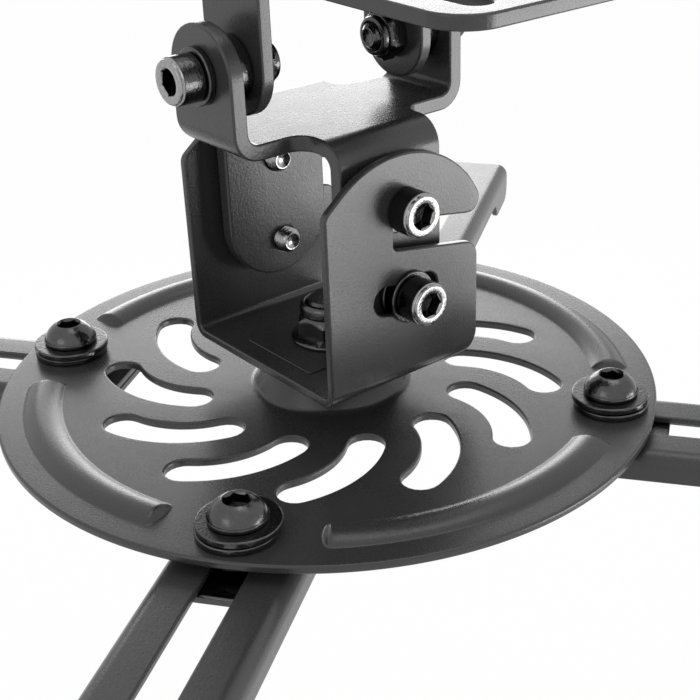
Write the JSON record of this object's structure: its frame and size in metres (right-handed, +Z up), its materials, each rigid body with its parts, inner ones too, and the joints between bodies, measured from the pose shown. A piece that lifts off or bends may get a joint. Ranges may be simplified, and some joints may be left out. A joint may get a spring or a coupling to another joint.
{
  "type": "projector ceiling mount",
  "caption": "Projector ceiling mount: ceiling plate, rolling saddle, tilting hooked yoke and a swivelling round plate with swirled slots and adjustable channel arms.",
  "frame": {"origin": "centre of the ceiling plate's upper face, where it meets the ceiling", "axes": "+X along the tilt axis, +Y along the roll axis, +Z up into the ceiling"},
  "size_m": [0.2938, 0.2938, 0.1184],
  "materials": {
    "coated_sheet": "satin black powder-coated steel sheet",
    "black_fastener": "black-oxide steel, slightly oily sheen",
    "slip_disc": "black nylon"
  },
  "bodies": {
    "ceiling": {"ceiling_plate": "coated_sheet", "roll_screw_front": "black_fastener", "roll_washer_front": "black_fastener", "roll_spacer_front": "black_fastener", "roll_nut_front": "black_fastener", "roll_screw_rear": "black_fastener", "roll_washer_rear": "black_fastener", "roll_spacer_rear": "black_fastener", "roll_nut_rear": "black_fastener"},
    "saddle": {"tilt_saddle": "coated_sheet", "pivot_screw_left": "black_fastener", "pivot_shim_left": "black_fastener", "lock_screw_left": "black_fastener", "lock_washer_left": "black_fastener", "lock_shim_left": "black_fastener", "pivot_screw_right": "black_fastener", "pivot_shim_right": "black_fastener", "lock_screw_right": "black_fastener", "lock_washer_right": "black_fastener", "lock_shim_right": "black_fastener"},
    "yoke": {"tilt_yoke": "coated_sheet", "swivel_stud": "black_fastener", "swivel_disc": "slip_disc", "swivel_pad": "slip_disc", "swivel_nut": "black_fastener"},
    "spider": {"round_plate": "coated_sheet"},
    "pin_right": {"arm_screw_right": "black_fastener", "arm_washers_right": "black_fastener", "arm_spacer_right": "black_fastener", "arm_grip_right": "black_fastener", "arm_nut_right": "black_fastener"},
    "arm_right": {"arm_right": "coated_sheet"},
    "pin_back": {"arm_screw_back": "black_fastener", "arm_washers_back": "black_fastener", "arm_spacer_back": "black_fastener", "arm_grip_back": "black_fastener", "arm_nut_back": "black_fastener"},
    "arm_back": {"arm_back": "coated_sheet"},
    "pin_left": {"arm_screw_left": "black_fastener", "arm_washers_left": "black_fastener", "arm_spacer_left": "black_fastener", "arm_grip_left": "black_fastener", "arm_nut_left": "black_fastener"},
    "arm_left": {"arm_left": "coated_sheet"},
    "pin_front": {"arm_screw_front": "black_fastener", "arm_washers_front": "black_fastener", "arm_spacer_front": "black_fastener", "arm_grip_front": "black_fastener", "arm_nut_front": "black_fastener"},
    "arm_front": {"arm_front": "coated_sheet"}
  },
  "joints": [
    {"name": "roll", "type": "hinge", "parent": "ceiling", "child": "saddle", "pos_m": [0, 0, -0.0225], "axis": [0, 1, 0], "range_deg": [-15, 15]},
    {"name": "tilt", "type": "hinge", "parent": "saddle", "child": "yoke", "pos_m": [0, 0, -0.0519], "axis": [1, 0, 0], "range_deg": [-13, 19]},
    {"name": "swivel", "type": "hinge", "parent": "yoke", "child": "spider", "pos_m": [0, -0.0016, -0.094], "axis": [0, 0, 1], "continuous": true},
    {"name": "swing_right", "type": "hinge", "parent": "spider", "child": "pin_right", "pos_m": [0.05479, 0.03748, -0.102], "axis": [0, 0, 1], "range_deg": [-30, 30]},
    {"name": "reach_right", "type": "slide", "parent": "pin_right", "child": "arm_right", "axis": [0.8141, 0.5807, 0], "range_m": [-0.03, 0.0065]},
    {"name": "swing_back", "type": "hinge", "parent": "spider", "child": "pin_back", "pos_m": [-0.03908, 0.05319, -0.102], "axis": [0, 0, 1], "range_deg": [-30, 30]},
    {"name": "reach_back", "type": "slide", "parent": "pin_back", "child": "arm_back", "axis": [-0.5807, 0.8141, 0], "range_m": [-0.03, 0.0065]},
    {"name": "swing_left", "type": "hinge", "parent": "spider", "child": "pin_left", "pos_m": [-0.05479, -0.04068, -0.102], "axis": [0, 0, 1], "range_deg": [-30, 30]},
    {"name": "reach_left", "type": "slide", "parent": "pin_left", "child": "arm_left", "axis": [-0.8141, -0.5807, 0], "range_m": [-0.03, 0.0065]},
    {"name": "swing_front", "type": "hinge", "parent": "spider", "child": "pin_front", "pos_m": [0.03908, -0.05639, -0.102], "axis": [0, 0, 1], "range_deg": [-30, 30]},
    {"name": "reach_front", "type": "slide", "parent": "pin_front", "child": "arm_front", "axis": [0.5807, -0.8141, 0], "range_m": [-0.03, 0.0065]}
  ]
}
